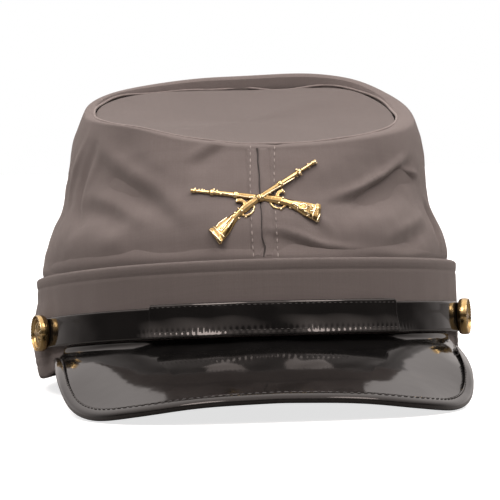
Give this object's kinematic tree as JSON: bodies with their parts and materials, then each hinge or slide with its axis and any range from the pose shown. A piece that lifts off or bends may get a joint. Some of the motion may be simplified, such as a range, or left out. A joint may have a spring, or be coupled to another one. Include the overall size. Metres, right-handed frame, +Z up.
{
  "type": "kepi cap",
  "caption": "Soft cotton kepi with a sunken, forward-slanting flat top, a patent peak and chin strap, domed side buttons and a crossed-rifles badge on the front.",
  "frame": {"origin": "on the surface the cap lies on, at the middle of its footprint", "axes": "+Z up, -Y to the front (the peak), +X to the right of someone who looks at the badge"},
  "size_m": [0.176, 0.2602, 0.1298],
  "materials": {
    "taupe_cotton": "matt cotton twill, slightly crumpled",
    "black_patent": "black patent, high gloss, stitched edges",
    "gilt_brass": "bright gilt casting"
  },
  "bodies": {
    "root": {"crown_wall": "taupe_cotton", "crown_top": "taupe_cotton", "headband": "taupe_cotton", "peak": "black_patent", "peak_binding": "black_patent", "chin_strap": "black_patent", "strap_centre": "black_patent", "button_left": "gilt_brass", "button_right": "gilt_brass", "crossed_rifles_badge": "gilt_brass", "badge_post": "gilt_brass"}
  },
  "joints": []
}
